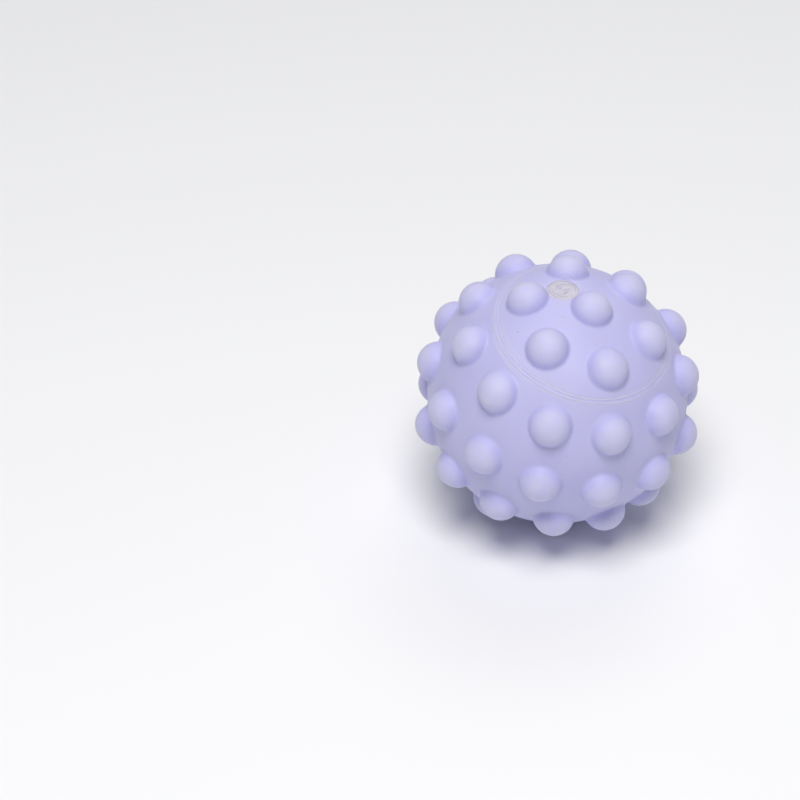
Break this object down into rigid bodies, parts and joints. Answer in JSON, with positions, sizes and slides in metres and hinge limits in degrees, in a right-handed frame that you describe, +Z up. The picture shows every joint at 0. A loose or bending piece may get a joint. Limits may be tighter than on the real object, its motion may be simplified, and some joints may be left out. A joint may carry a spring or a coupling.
{
  "type": "massage ball",
  "caption": "Soft hollow massage ball with round nubs all over, moulded as a bowl and a cap bonded along a circular seam, with a plug that closes its vent hole.",
  "frame": {"origin": "on the floor, under the middle of the ball as it lies on three of its nubs", "axes": "+Z up; the cap's pole leans about 19 degrees from +Z, towards +X and -Y; the picture's view looks along +Y and about 36 degrees down"},
  "size_m": [0.0652, 0.0665, 0.0649],
  "materials": {
    "skin": "soft matte lavender PVC, faint mottling, paler on the nubs",
    "bond": "the same PVC, a little glossier where it has run",
    "plug": "unpigmented greyish-white PVC with fine swirled ridges"
  },
  "bodies": {
    "bowl": {"skin_bowl": "skin"},
    "cap": {"skin_cap": "skin", "seam_bead": "bond", "closure_plug": "plug"}
  },
  "joints": [
    {"name": "squeeze", "type": "slide", "parent": "bowl", "child": "cap", "axis": [0, 0, -1], "range_m": [0, 0.01], "stiffness_N_per_m": 1500, "deforming": ["skin_bowl"]}
  ]
}
